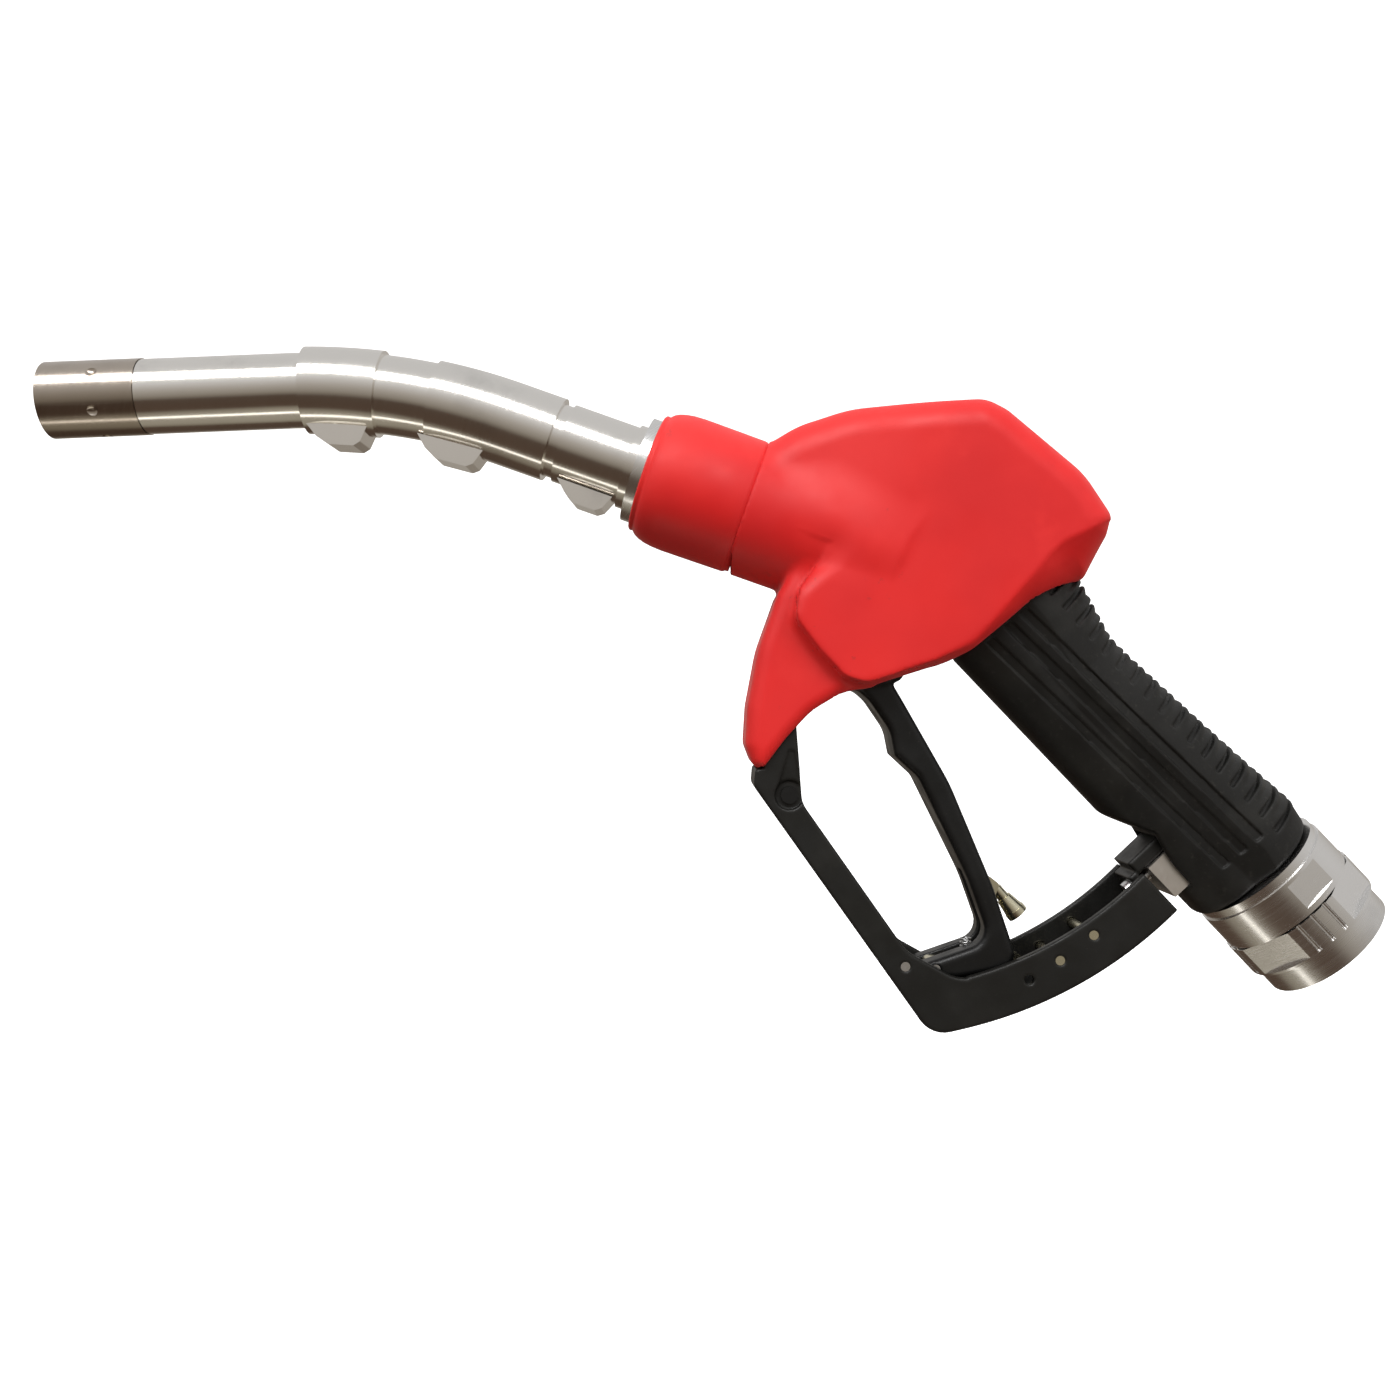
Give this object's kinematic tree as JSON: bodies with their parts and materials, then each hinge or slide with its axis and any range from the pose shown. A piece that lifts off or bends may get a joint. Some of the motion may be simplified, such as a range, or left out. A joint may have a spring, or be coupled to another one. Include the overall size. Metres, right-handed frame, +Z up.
{
  "type": "fuel nozzle",
  "caption": "Automatic fuel nozzle with a bent spout, a covered valve body, a squeeze lever in a hand guard and a hose swivel.",
  "frame": {"origin": "centre of the inlet mouth, on the hose swivel's axis", "axes": "+Z up with the nozzle's spout level, -X towards the spout tip, +X towards the hose, Y across; Y = 0 is the plane of symmetry"},
  "size_m": [0.4267, 0.056, 0.2174],
  "materials": {
    "cast_aluminium": "as cast",
    "turned_aluminium": "turned and milled",
    "spout_aluminium": "polished",
    "nickel_steel": "dark polished",
    "steel": "ground",
    "spring_steel": "drawn",
    "yellow_zinc": "yellow zinc plated",
    "black_steel": "black oxide",
    "brass": "turned",
    "red_cover": "smooth matt vinyl",
    "black_rubber": "ribbed matt",
    "seal_rubber": "smooth",
    "black_lever": "moulded",
    "black_plastic": "moulded, fine grain"
  },
  "bodies": {
    "body": {"body_casting": "cast_aluminium", "body_cover": "red_cover", "spout_boot": "red_cover", "grip_sleeve": "black_rubber", "spout_tube": "spout_aluminium", "spout_tip_ferrule": "nickel_steel", "spout_anchor_ring": "spout_aluminium", "spout_front_sleeve": "spout_aluminium", "spout_middle_sleeve": "spout_aluminium", "spout_rear_sleeve": "spout_aluminium", "spout_nut": "turned_aluminium", "spout_oring": "seal_rubber", "vent_tube": "brass", "vent_tip_fitting": "brass", "attitude_ball_cage": "brass", "check_valve_seat": "brass", "check_valve_spring": "spring_steel", "check_valve_guide": "brass", "main_valve_seat": "brass", "main_valve_spring": "spring_steel", "main_valve_cap": "turned_aluminium", "main_valve_cap_oring": "seal_rubber", "stem_gland_nut": "brass", "stem_packing": "seal_rubber", "diaphragm": "seal_rubber", "diaphragm_cap": "cast_aluminium", "diaphragm_cap_screws": "steel", "diaphragm_spring": "spring_steel", "latch_balls": "steel", "latch_plunger_spring": "spring_steel", "plunger_bush": "brass", "hand_guard": "black_plastic", "guard_front_screw": "black_steel", "guard_front_nut": "black_steel", "guard_rear_block": "black_plastic", "guard_rear_screw": "steel", "lever_stop_pin": "steel", "latch_pins": "yellow_zinc", "inlet_ring": "turned_aluminium", "swivel_oring": "seal_rubber", "swivel_balls": "steel", "swivel_dust_seal": "seal_rubber", "inlet_strainer": "brass"},
    "attitude_ball": {"attitude_ball": "steel"},
    "check_valve": {"check_valve_poppet": "brass"},
    "main_valve": {"main_valve_stem": "steel", "main_valve_poppet": "brass", "main_valve_seal": "seal_rubber"},
    "plunger": {"latch_plunger": "steel"},
    "lever": {"lever": "black_lever", "lever_pin": "steel", "lever_roller": "steel", "roller_pin": "steel", "catch_pin": "steel", "catch_spring": "spring_steel"},
    "catch": {"hold_open_catch": "yellow_zinc", "catch_knob": "yellow_zinc"},
    "swivel": {"swivel_nut": "turned_aluminium", "hose_washer": "seal_rubber"}
  },
  "joints": [
    {"name": "latch_plunger_drop", "type": "slide", "parent": "body", "child": "plunger", "axis": [-0.3338, 0, -0.9426], "range_m": [0, 0.004], "stiffness_N_per_m": 600, "springref_m": -0.006, "deforming": ["latch_plunger_spring"]},
    {"name": "lever_squeeze", "type": "hinge", "parent": "plunger", "child": "lever", "pos_m": [-0.1567, 0, 0.095], "axis": [0, -1, 0], "range_deg": [0, 18], "stiffness_Nm_per_rad": 2, "springref_deg": -28.65},
    {"name": "main_valve_lift", "type": "slide", "parent": "body", "child": "main_valve", "axis": [0.3338, 0, 0.9426], "range_m": [0, 0.006], "deforming": ["main_valve_spring"]},
    {"name": "catch_turn", "type": "hinge", "parent": "lever", "child": "catch", "pos_m": [-0.1274, 0, -0.0066], "axis": [0, 1, 0], "range_deg": [0, 7], "stiffness_Nm_per_rad": 0.2, "springref_deg": -17.19, "deforming": ["catch_spring"]},
    {"name": "check_valve_open", "type": "slide", "parent": "body", "child": "check_valve", "axis": [-0.9426, 0, 0.3338], "range_m": [0, 0.003], "stiffness_N_per_m": 400, "springref_m": -0.004, "deforming": ["check_valve_spring"]},
    {"name": "attitude_ball_roll", "type": "slide", "parent": "body", "child": "attitude_ball", "axis": [0.9992, 0, 0.0401], "range_m": [0, 0.003]},
    {"name": "swivel_spin", "type": "hinge", "parent": "body", "child": "swivel", "pos_m": [0, 0, 0], "axis": [0.6884, 0, -0.7254], "continuous": true}
  ],
  "couplings": [
    {"joint": "main_valve_lift", "follows": "lever_squeeze", "m_per_rad": 0.017}
  ]
}
